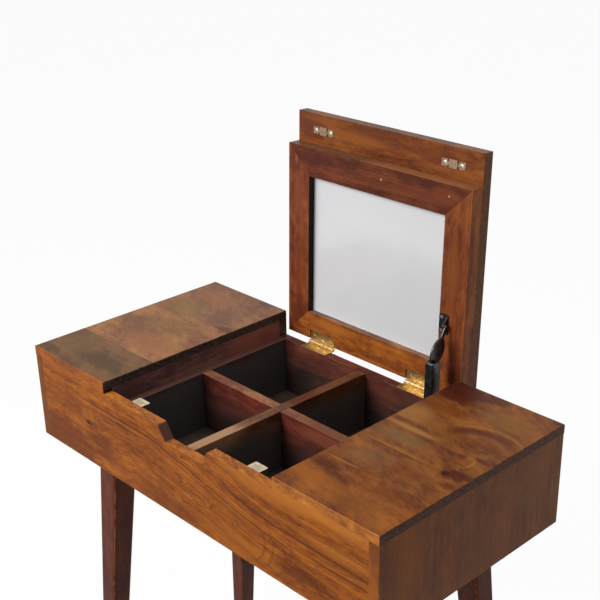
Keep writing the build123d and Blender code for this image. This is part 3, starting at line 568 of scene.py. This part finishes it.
for side, place, middle, seed, patches, arcs in (
    ("left", "front", (112, 86, 66), 2.1,
     [((-265, 40), (80, 20), (90, 72, 56), 0.9),
      ((-350, 60), (50, 34), (118, 92, 64), 0.7),
      ((-280, 88), (110, 10), (122, 88, 70), 0.7),
      ((-380, 14), (40, 16), (84, 66, 50), 0.8),
      ((-230, 12), (60, 12), (126, 88, 60), 0.7)], []),
    ("left", "middle", (143, 101, 74), 3.4,
     [((-362, 190), (46, 24), (112, 84, 66), 0.9),
      ((-260, 140), (70, 30), (154, 104, 76), 0.8),
      ((-300, 215), (60, 40), (126, 98, 68), 0.6),
      ((-218, 165), (16, 12), (150, 116, 66), 0.7)], []),
    ("left", "rear", (135, 98, 76), 4.6,
     [((-214, 268), (24, 13), (88, 62, 50), 0.95),
      ((-222, 240), (26, 8), (98, 68, 54), 0.8),
      ((-236, 256), (20, 6), (166, 112, 78), 0.7),
      ((-330, 345), (60, 26), (152, 102, 76), 0.7),
      ((-340, 285), (60, 40), (124, 100, 66), 0.7),
      ((-260, 310), (30, 40), (118, 88, 70), 0.6),
      ((-385, 262), (24, 18), (150, 98, 76), 0.6)], []),
    ("right", "front", (128, 76, 44), 5.2,
     [((225, 76), (30, 12), (78, 44, 32), 0.95),
      ((240, 98), (30, 3), (170, 108, 56), 0.7),
      ((245, 40), (60, 18), (154, 92, 42), 0.8),
      ((330, 30), (60, 20), (134, 84, 44), 0.6),
      ((330, 75), (60, 16), (112, 66, 40), 0.6)], []),
    ("right", "middle", (120, 74, 46), 6.9,
     [((378, 178), (28, 17), (70, 34, 36), 1.0),
      ((362, 172), (7, 7), (44, 24, 24), 1.0),
      ((386, 148), (20, 12), (88, 46, 34), 0.85),
      ((384, 232), (22, 10), (82, 42, 34), 0.9),
      ((352, 222), (10, 12), (84, 44, 34), 0.7),
      ((255, 204), (60, 17), (120, 94, 60), 0.85),
      ((250, 233), (60, 7), (170, 120, 66), 0.85),
      ((275, 175), (80, 4), (156, 100, 50), 0.8),
      ((290, 169), (70, 3), (86, 52, 34), 0.7),
      ((255, 135), (44, 26), (112, 82, 58), 0.7),
      ((322, 140), (30, 30), (118, 66, 40), 0.6)],
     [((350, 120), (28, 50), 0.10, (326, 126), (24, 50), (150, 96, 48), 0.2),
      ((367, 214), (9, 12), 0.34, (375, 213), (10, 16), (170, 122, 60), 0.5)]),
    ("right", "rear", (124, 76, 47), 7.7,
     # The first three patches are painted shadow and reflection of the standing lid on the
     # plank's rear left.
     [((232, 374), (60, 32), (66, 38, 38), 1.0),
      ((270, 385), (60, 14), (84, 48, 40), 0.8),
      ((240, 352), (54, 12), (88, 48, 36), 0.85),
      ((246, 312), (54, 22), (112, 62, 36), 0.9),
      ((222, 268), (36, 36), (154, 108, 58), 0.85),
      ((270, 262), (40, 20), (138, 90, 46), 0.6),
      ((345, 345), (60, 26), (138, 94, 50), 0.7),
      ((350, 268), (40, 16), (112, 66, 40), 0.8)],
     [((352, 252), (60, 46), 0.34, (326, 290), (80, 40), (84, 46, 38), 0.8),
      ((352, 252), (76, 60), 0.10, (340, 306), (80, 34), (158, 106, 52), 0.6)]),
):
    wood(
        f"{side}_top_{place}_plank", "top", middle, seed=seed, lines=0.22, streaks=0.12,
        fibres=0.7, patches=behind_front(patches), arcs=behind_front(arcs, (0, 3)),
        edge_strip=front_edges[side] if place == "front" else None, wear=0.3,
        **panel_looks[side])

for side, middle, edge, light, seed in (
    ("left", (118, 68, 38), (116, 68, 38), front_light, 8.1),
    ("right", (85, 57, 43), (94, 60, 43), side_light, 9.5),
):
    wood(
        side + "_side_board", "side", middle, light, seed=seed, lines=0.3, clouds=0.7,
        mottle=0.5, streaks=0.2, fibres=0.6, end_tone=((60, 34, 24), (110, 66, 42)),
        drawn=[(from_front(258), 1.2, 690, 750, 0.6)],
        patches=[((690, from_front(60)), (60, 30), (98, 64, 44), 0.5),
                 ((640, from_front(200)), (50, 60), (78, 52, 42), 0.6),
                 ((700, from_front(330)), (60, 40), (92, 64, 46), 0.5)],
        edge_strip=front_edge(*edge), wear=0.6)

# Painted shade for the compartments' depths, on the boards that run to the back, and on those
# that run across.
side_painted_shade = (74, 73, 73)
face_painted_shade = (42, 39, 36)
everywhere = (0, 0)                          # the painted shade isn't kept to one side of a board

rear_inside, rear_outside = (corner[1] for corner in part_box("rear_board"))
wood(
    "rear_board", "front", (104, 58, 46), seed=10.4, lines=0.7, streaks=0.5,
    knots=[(120, 660, 3.5, 14.0)], bend=[(-260, 200, -30.0)],
    patches=[((0, 690), (400, 20), (96, 48, 40), 0.7),
             ((130, 700), (60, 50), (78, 48, 44), 0.9)],
    end_tone=((52, 30, 22), (100, 60, 40)), wear=0.4,
    edge_strip=("y", rear_outside - 3.0 * mm, rear_outside - 1.5 * mm, (150, 88, 46)),
    painted_depth_shade=(ledge - 4, 70, face_painted_shade, (rear_inside + 1 * mm, rear_inside + 3 * mm)))

# Inside the well the wood is redder, and painted shade makes the compartments go nearly black
# with depth.
for side, seed in (("left", 11.3), ("right", 12.8)):
    wood(
        side + "_well_wall", "depth", (115, 80, 74), seed=seed, lines=0.4, streaks=0.3,
        # The first patch is painted shade, darker near the front of each wall.
        patches=[((from_front(40), 730), (50, 40), (90, 66, 60), 0.8),
                 ((from_front(330), 730), (80, 30), (160, 86, 72), 0.8)], wear=0.35)
    wood(
        side + "_compartment_liner", "depth", (78, 46, 40), right_light, seed=seed + 2, lines=0.4,
        cuts=[((from_front(200), ledge), (900, 20), (104, 71, 64), 1)],
        wear=0.95, worn=(176, 122, 94),
        painted_depth_shade=(ledge + 12, 30, side_painted_shade, everywhere))
wood(
    "long_divider", "depth", (112, 76, 56), right_light, seed=15.2, lines=0.5, wear=0.6,
    # The second, pale patch is painted light that lifts the front board's shadow off the
    # divider's front end.
    patches=[((from_front(290), ledge), (90, 60), (98, 60, 44), 0.8),
             ((from_front(62), ledge), (60, 40), (188, 146, 112), 0.9),
             ((from_front(250), ledge), (30, 30), (84, 44, 30), 0.8)],
    painted_depth_shade=(ledge - 1, 40, side_painted_shade, everywhere))
wood(
    "cross_divider", "front", (100, 46, 36), upper=(128, 82, 56), seed=16.7, lines=0.5,
    wear=0.95, worn=(224, 168, 110),
    cuts=[((120, ledge), (80, 12), (112, 66, 44), 1)],
    # The first patch is painted shadow of the left well wall over the divider's left end.
    patches=[((-190, ledge), (36, 60), (58, 26, 24), 1.0),
             ((110, ledge - 14), (70, 14), (134, 74, 50), 0.9)],
    painted_depth_shade=(ledge - 2, 70, face_painted_shade, everywhere))

# Lid: three planks, and a mitred frame round the mirror.
for name, seed in (("lid_front_plank", 17.9), ("lid_middle_plank", 18.6),
                   ("lid_rear_plank", 19.4)):
    wood(
        name, "lid", (122, 68, 38), lid_light, seed=seed, lines=0.4, clouds=0.8,
        streaks=0.3,
        patches=[((120, 374), (90, 10), (150, 88, 44), 0.85),
                 ((22, 380), (60, 26), (98, 54, 40), 0.85),
                 ((60, 392), (60, 8), (140, 84, 44), 0.6),
                 ((300, 380), (60, 16), (108, 58, 36), 0.7),
                 ((180, 392), (60, 8), (104, 58, 38), 0.7),
                 ((340, 360), (70, 6), (138, 84, 46), 0.7)],
        end_tone=((92, 58, 38), (144, 94, 60)), upper=(100, 64, 46), wear=0.4,
        edge_strip=("into", -35.0, -37.5, (130, 82, 46)))
rail_top = (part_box("mirror_frame_top_rail")[1][2] - lid_origin.z) / mm
pin_heads = [((214, 326.5), (2.0, 2.0), (236, 196, 160), 1.0),
             ((354, 329.5), (1.7, 1.7), (214, 164, 130), 1.0)]
wood(
    "mirror_frame_top_rail", "lid", (102, 54, 38), lid_light, seed=20.3, lines=0.5,
    streaks=0.4,
    patches=[((60, 330), (60, 14), (82, 42, 36), 0.8),
             ((300, 320), (60, 12), (124, 66, 44), 0.6),
             ((350, 330), (30, 16), (130, 70, 44), 0.6), *pin_heads],
    cuts=[((290, rail_top), (140, 16), (142, 90, 58), 1)], upper=(92, 62, 46), wear=0.35)
wood(
    "mirror_frame_hinge_rail", "lid", (146, 82, 40), lid_light, seed=21.8, upper=(134, 98, 76),
    lines=0.5, streaks=0.4,
    patches=[((110, 36), (60, 10), (176, 108, 52), 0.8),
             ((250, 14), (120, 10), (118, 60, 34), 0.7),
             ((330, 30), (40, 14), (128, 66, 40), 0.6)], wear=0.4)
stile_inside = (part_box("mirror_frame_left_stile")[1][0] - lid_origin.x) / mm
wood(
    "mirror_frame_left_stile", "stile", (124, 66, 42), lid_light, seed=22.4, lines=0.4,
    streaks=0.3,
    # The near-black cut on the stile's inner face, beside the mirror, is painted shade.
    cuts=[((170, stile_inside), (190, 9), (26, 22, 20), 1)],
    patches=[((260, 24), (40, 12), (138, 80, 46), 0.6),
             ((120, 26), (50, 14), (134, 66, 42), 0.6),
             ((40, 30), (40, 16), (96, 46, 34), 0.7)], wear=0.4)
stile_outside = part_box("mirror_frame_right_stile")[1][0]
wood(
    "mirror_frame_right_stile", "stile", (122, 66, 41), lid_light, seed=23.6, lines=0.5,
    streaks=0.4,
    edge_strip=("x", stile_outside - 1.6 * mm, stile_outside - 0.8 * mm, (150, 88, 58)),
    patches=[((210, 370), (60, 14), (144, 84, 46), 0.7),
             ((60, 385), (50, 16), (92, 46, 36), 0.7)], wear=0.4)

for number, name in enumerate(("front_left_leg", "front_right_leg", "rear_left_leg",
                               "rear_right_leg", "left_leg_rail", "right_leg_rail")):
    wood(
        name, "depth" if "rail" in name else "side", (92, 48, 36), leg_light,
        seed=24.2 + number * 1.7, lines=0.5, streaks=0.5, wear=0.3,
        end_tone=((50, 26, 20), (90, 54, 38)))
panel_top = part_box("bottom_panel")[1][2] / mm
plywood = (140, 100, 64)
wood(
    "bottom_panel", "top", plywood, seed=31.5, lines=0.4,
    # Painted shade darkens the whole panel, which lies at the bottom of the compartments.
    painted_depth_shade=(panel_top + 22, 2, (40, 40, 42), everywhere))
wood("mirror_backing", "lid", plywood, seed=33.1, lines=0.4)
wood("mirror_packing_strips", "lid", plywood, seed=34.6, lines=0.4)

finish("mirror_glass", mirror_material())
brass = metal("aged_brass", (208, 178, 120), (112, 88, 48), 0.36, 0.85, grain=210.0)
screw_brass = metal("bright_brass", (252, 228, 172), (200, 160, 100), 0.3, 0.4, grain=600.0)
nickel = metal("plated_steel", (214, 208, 200), (120, 104, 90), 0.24, 0.5)
plate_steel = metal("strike_steel", (160, 134, 108), (78, 60, 46), 0.34, 0.85)
bolt_steel = metal("dull_steel", (150, 150, 148), (92, 86, 80), 0.4)
magnet_plating = metal("magnet_plating", (168, 158, 138), (136, 126, 106), 0.6)
black_paint = painted_steel("black_satin_paint")
# The ivory catches get near-black painted shade on their faces that don't look up.
ivory = plastic("ivory_plastic", (196, 182, 154), (170, 152, 122), 0.45, 0.3, (26, 20, 18))
glide = plastic("glide_plastic", (74, 66, 58), (58, 52, 46), 0.55)
finish(f"{hinge_leaves} hinge_pins hinge_rail_screws hinge_lid_screws", brass)
finish(f"{strike_plates} strike_screws catch_screws", nickel)
finish("stay_base_screws stay_bracket_screws leg_hanger_bolts", bolt_steel)
finish("stay_base_plate stay_base_rivet stay_lower_channel stay_elbow_rivet "
       "stay_upper_strap stay_lid_bracket stay_lid_rivet", black_paint)
finish(catch_housings, ivory)
finish("foot_glides", glide)
finish("catch_magnets catch_pole_plates", magnet_plating)


# ---- Fasteners, hinge leaves and the stay's channel ----

built = {}                                   # pieces made here, by the node they stand for
up_lid = Vector((0, math.sin(lid_lean), math.cos(lid_lean)))
off_lid = Vector((0, -math.cos(lid_lean), math.sin(lid_lean)))
sideways = Vector((1, 0, 0))


def add_object(name, data):
    made = bpy.data.objects.new(name, data)
    bpy.context.collection.objects.link(made)
    return made


def stand_for(node, made, material):
    """Adds a new mesh that takes the place of a CAD node."""
    bmesh.ops.recalc_face_normals(made, faces=made.faces)
    data = bpy.data.meshes.new("new_" + node)
    made.to_mesh(data)
    made.free()
    data.materials.append(material)
    piece = add_object("new_" + node, data)
    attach(piece, body_of[node])
    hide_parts(node)
    built[node] = piece


def welded(node):
    """A copy of a CAD node's mesh with its faces joined."""
    made = bmesh.new()
    made.from_mesh(nodes[node].data)
    bmesh.ops.remove_doubles(made, verts=made.verts, dist=0.001 * mm)
    return made


def islands(node):
    """The points of each separate solid of a CAD node."""
    made = welded(node)
    seen = set()
    groups = []
    for start in made.verts:
        if start in seen:
            continue
        seen.add(start)
        stack, group = [start], []
        while stack:
            vert = stack.pop()
            group.append(vert.co.copy())
            for edge in vert.link_edges:
                other = edge.other_vert(vert)
                if other not in seen:
                    seen.add(other)
                    stack.append(other)
        groups.append(group)
    made.free()
    return groups


def join_loops(made, first, second):
    """Faces between two closed loops of as many points."""
    for k in range(len(first)):
        after = (k + 1) % len(first)
        made.faces.new((first[k], second[k], second[after], first[after]))


def screw(rise, radius, shank, length, segments=24):
    """A cross-slotted countersunk screw that points down, its rim at height 0."""
    rim_drop = 0.08 * radius
    slot_arm, slot_half, slot_depth = 0.62 * radius, 0.11 * radius, 0.3 * radius
    made = bmesh.new()
    profile = [(share * radius, rise * (1 - share * share)) for share in (0.3, 0.6, 0.85, 1.0)]
    profile += [(radius, -rim_drop), (shank, -rim_drop - (radius - shank)), (shank, -length)]
    rings = []
    for reach, height in profile:
        rings.append([made.verts.new((reach * math.cos(turn), reach * math.sin(turn), height))
                      for turn in (2 * math.pi * k / segments for k in range(segments))])
    top = made.verts.new((0, 0, rise))
    for k in range(segments):
        made.faces.new((top, rings[0][k], rings[0][(k + 1) % segments]))
    for inner, outer in zip(rings, rings[1:]):
        join_loops(made, inner, outer)
    made.faces.new(rings[-1][::-1])
    for axis in (Vector((1, 0, 0)), Vector((0, 1, 0))):
        for place in (-slot_arm, -slot_half, slot_half, slot_arm):
            bmesh.ops.bisect_plane(made, geom=made.verts[:] + made.edges[:] + made.faces[:],
                                   plane_co=axis * place, plane_no=axis)
    made.normal_update()
    slot = []
    for face in made.faces:
        middle = face.calc_center_median()
        across, along = sorted((abs(middle.x), abs(middle.y)))
        if middle.z > 0 and across < slot_half and along < slot_arm:
            slot.append(face)
    sunk = bmesh.ops.extrude_face_region(made, geom=slot)
    bmesh.ops.delete(made, geom=slot, context="FACES")
    moved = [item for item in sunk["geom"] if isinstance(item, bmesh.types.BMVert)]
    bmesh.ops.translate(made, verts=moved, vec=(0, 0, -slot_depth))
    return made


def screws(node, outward, rise, material):
    """Puts cross-slotted screws where a CAD node has plain ones."""
    shank_share = 0.42
    first_turn, next_turn = math.radians(17), math.radians(53)
    joined = bmesh.new()
    for index, points in enumerate(islands(node)):
        heights = [point.dot(outward) for point in points]
        top, bottom = max(heights), min(heights)
        rim = [p for p, h in zip(points, heights) if h > top - 0.02 * mm]
        seat = sum(rim, Vector()) / len(rim)
        radius = max((p - seat).length for p in rim)
        one = screw(rise, radius, shank_share * radius, top - bottom)
        across = Matrix.Rotation(first_turn + next_turn * index, 3, outward) @ sideways
        turn = Matrix((across, outward.cross(across), outward)).transposed().to_4x4()
        bmesh.ops.transform(one, matrix=Matrix.Translation(seat) @ turn, verts=one.verts)
        part = bpy.data.meshes.new("one_screw")
        one.to_mesh(part)
        one.free()
        joined.from_mesh(part)
        bpy.data.meshes.remove(part)
    stand_for(node, joined, material)


def slab(made, outline, bottom, top, to_world):
    """A flat plate with this outline, between two heights."""
    low = [made.verts.new(to_world(u, v, bottom)) for u, v in outline]
    high = [made.verts.new(to_world(u, v, top)) for u, v in outline]
    made.faces.new(low[::-1])
    made.faces.new(high)
    join_loops(made, low, high)


def rounded(half_length, half_width, radius, steps=4):
    """Outline of a rectangle with rounded corners."""
    outline = []
    for corner, (side, level) in enumerate(((1, 1), (-1, 1), (-1, -1), (1, -1))):
        for step in range(steps + 1):
            turn = math.radians(90 * (corner + step / steps))
            outline.append((side * (half_length - radius) + radius * math.cos(turn),
                            level * (half_width - radius) + radius * math.sin(turn)))
    return outline


def strike_plate(node, material):
    """Two screwed ears, thin necks and the thick steel block that the magnet takes."""
    thickness = 1.3 * mm                     # of the ears
    ear_half, ear_corner = 6.2 * mm, 1.6 * mm
    block_half, block_corner = 8.2 * mm, 0.8 * mm
    neck_half, overlap = 3.0 * mm, 0.2 * mm
    points = [vert.co for vert in nodes[node].data.vertices]
    (left, right), (low, high), (back, front) = (
        (min(values), max(values)) for values in (
            [point.dot(direction) for point in points]
            for direction in (sideways, up_lid, off_lid)))
    half_length, half_width = (right - left) / 2, (high - low) / 2

    def to_world(x, y, height):
        return (sideways * ((left + right) / 2 + x) + up_lid * ((low + high) / 2 + y)
                + off_lid * height)

    made = bmesh.new()
    neck_from, neck_to = block_half - overlap, half_length - 2 * ear_half + overlap
    for side in (-1, 1):
        ear = [(side * (half_length - ear_half) + x, y)
               for x, y in rounded(ear_half, 0.86 * half_width, ear_corner)]
        slab(made, ear, back, back + thickness, to_world)
        neck = [(side * neck_from, -neck_half), (side * neck_to, -neck_half),
                (side * neck_to, neck_half), (side * neck_from, neck_half)]
        slab(made, neck[::side], back + overlap / 2, back + thickness - overlap / 2, to_world)
    slab(made, rounded(block_half, half_width, block_corner), back, front, to_world)
    stand_for(node, made, material)


notch_reach = 3.55 * mm                      # from the pin's axis to the CAD leaf's notches
notch_closer = 0.78 * mm                     # how far they are moved towards it here


def hinge_leaf(node, along, material):
    """The CAD leaf with notches that run closer to the other leaf's knuckles.

    along: direction from the pin towards the free edge of the leaf."""
    axis = (Vector(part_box("hinge_pins")[0]) + Vector(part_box("hinge_pins")[1])) / 2
    made = welded(node)
    for vert in made.verts:
        reach = (vert.co - axis).dot(along)
        if abs(reach - notch_reach) < 0.05 * mm:
            vert.co -= along * notch_closer
    stand_for(node, made, material)


def bent_channel(node, wall, bend, end_round, steps=5):
    """A U-shaped channel bent from sheet: round outer corners and round ends."""
    back_dir = sideways.cross(up_lid)
    points = [vert.co for vert in nodes[node].data.vertices]
    x = [point.x for point in points]
    depth = [-point.dot(back_dir) for point in points]
    length = [point.dot(up_lid) for point in points]
    middle_x, half = (min(x) + max(x)) / 2, (max(x) - min(x)) / 2
    arc = [(1 - math.cos(turn), 1 - math.sin(turn))
           for turn in (step * math.pi / 2 / steps for step in range(steps + 1))]

    def section(front, back):
        """Outline of the sheet across the channel, which is open at the back."""
        outer, inner = [], []
        for side in (-1, 1):
            for curve, radius, gap in ((outer, bend, 0.0), (inner, bend - wall, wall)):
                line = [(-half + gap, back)]
                line += [(-half + gap + radius * a, front + gap + radius * b) for a, b in arc]
                if side > 0:
                    line = [(-px, py) for px, py in line[::-1]]
                curve.extend(line)
        return outer + inner[::-1]

    low_round, high_round = end_round
    stations = [(min(length) + low_round * a, low_round * b) for a, b in arc]
    stations += [(max(length) - high_round * a, high_round * b) for a, b in arc[::-1]]
    made = bmesh.new()
    loops = []
    for level, cut in stations:
        loops.append([made.verts.new(sideways * (middle_x + px) - back_dir * py + up_lid * level)
                      for px, py in section(min(depth) + cut, max(depth) - cut)])
    for first, second in zip(loops, loops[1:]):
        join_loops(made, first, second)
    made.faces.new(loops[0][::-1])
    made.faces.new(loops[-1])
    stand_for(node, made, black_paint)


bent_channel("stay_lower_channel", 1.5 * mm, 3.6 * mm, (6 * mm, 3 * mm))
for side in ("left", "right"):
    strike_plate(side + "_strike_plate", plate_steel)
    hinge_leaf(side + "_hinge_fixed_leaf", Vector((0, -1, 0)), brass)
    hinge_leaf(side + "_hinge_lid_leaf", up_lid, brass)
screws("strike_screws", off_lid, 0.6 * mm, nickel)
screws("hinge_lid_screws", off_lid, 0.25 * mm, screw_brass)
screws("hinge_rail_screws", Vector((0, 0, 1)), 0.25 * mm, screw_brass)


# ---- Softened edges ----

def soften(names, width):
    """Welds the mesh's faces together and rounds its sharp edges."""
    for name in names:
        piece = built.get(name, nodes[name])
        weld = piece.modifiers.new("weld", "WELD")
        weld.merge_threshold = 0.002 * mm
        bevel = piece.modifiers.new("soft_edges", "BEVEL")
        bevel.width = width
        bevel.segments = 3
        bevel.limit_method = "ANGLE"
        bevel.angle_limit = math.radians(35)
        bevel.use_clamp_overlap = True
        normals = piece.modifiers.new("flat_faces", "WEIGHTED_NORMAL")
        normals.keep_sharp = False
        normals.weight = 100
        for face in piece.data.polygons:
            face.use_smooth = True


wooden = [name for name in nodes if name + "_wood" in bpy.data.materials]
wooden.remove("mirror_packing_strips")       # these are too thin
soften(wooden, 0.8 * mm)
soften(hinge_leaves.split(), 0.2 * mm)
soften(strike_plates.split(), 0.3 * mm)
soften("stay_base_plate stay_lower_channel stay_upper_strap stay_lid_bracket".split(), 0.4 * mm)
soften(catch_housings.split(), 0.6 * mm)


# ---- Camera, floor and light ----

photo_size = 600
photo_focal = 1144.549                      # pixels
photo_centre = (309.50, 327.51)             # where the lens axis meets the photograph
view_azimuth = math.radians(46.362)
view_elevation = math.radians(24.453)       # of the camera above the object
view_roll = -0.0166                         # radians
camera_place = Vector((1.20438, -1.112155, 1.58926))

camera_data = bpy.data.cameras.new("photo_camera")
camera_data.sensor_width = 36.0
camera_data.lens = photo_focal / photo_size * camera_data.sensor_width
camera_data.shift_x = (photo_size / 2 - photo_centre[0]) / photo_size
camera_data.shift_y = (photo_centre[1] - photo_size / 2) / photo_size
camera_data.clip_end = 60.0
camera = add_object("photo_camera", camera_data)
turn = (Matrix.Rotation(view_azimuth, 4, "Z")
        @ Matrix.Rotation(math.pi / 2 - view_elevation, 4, "X")
        @ Matrix.Rotation(view_roll, 4, "Z"))
camera.matrix_world = Matrix.Translation(camera_place) @ turn
bpy.context.scene.camera = camera


def seen_directly(tree):
    """1 for camera, mirror-like and transmitted rays, 0 for the rest."""
    rays = tree.node("LightPath").node.outputs
    seen = rays["Is Camera Ray"]
    for ray in ("Is Glossy Ray", "Is Transmission Ray"):
        seen = tree.node("Math", {0: seen, 1: rays[ray]}, operation="ADD", use_clamp=True)
    return seen


def make_world(strength):
    """Soft warm light from all round, and plain white where the world is seen."""
    tree = Tree(bpy.data.worlds.new("studio"))
    soft = tree.node("Background", {0: (1.0, 0.99, 0.97, 1), 1: strength})
    white = tree.node("Background", {0: (1, 1, 1, 1), 1: 1.0})
    blend = tree.node("MixShader", {0: seen_directly(tree), 1: soft, 2: white})
    tree.node("OutputWorld", {0: blend})
    bpy.context.scene.world = tree.owner


def make_floor(half_size, shadow_share, bounce):
    """A pale floor that is white to the eye and still keeps part of the shadow.

    bounce: its reflectance for the light that it throws back on the object."""
    floor_mesh = bpy.data.meshes.new("floor")
    floor_mesh.from_pydata(
        [(x * half_size, y * half_size, 0) for x, y in ((-1, -1), (1, -1), (1, 1), (-1, 1))],
        [], [(0, 1, 2, 3)])
    tree = Tree(bpy.data.materials.new("pale_floor"))
    seen = seen_directly(tree)
    matt = tree.node("BsdfDiffuse", {0: tree.mix(seen, (bounce, bounce, bounce, 1),
                                                 (0.92, 0.92, 0.92, 1))})
    glow = tree.node("Emission", {0: (1, 1, 1, 1), 1: 1.0})
    share = tree.times(seen, 1 - shadow_share)
    tree.node("OutputMaterial", {0: tree.node("MixShader", {0: share, 1: matt, 2: glow})})
    floor_mesh.materials.append(tree.owner)
    floor = add_object("floor", floor_mesh)


box_middle = Vector((0, 0, 0.75))


def area_light(name, place, size, power):
    """A square lamp that points at the middle of the box."""
    data = bpy.data.lights.new(name, "AREA")
    data.shape = "SQUARE"
    data.size = size
    data.energy = power
    light = add_object(name, data)
    light.location = place
    aim = box_middle - light.location
    light.rotation_euler = aim.to_track_quat("-Z", "Y").to_euler()


make_world(strength=0.30)
make_floor(half_size=14.0, shadow_share=0.05, bounce=0.4)
area_light("key", place=(-1.0, -2.7, 2.5), size=1.6, power=105)
area_light("top", place=(0.0, 0.3, 3.4), size=1.8, power=34)
bpy.context.scene.view_settings.view_transform = "Standard"
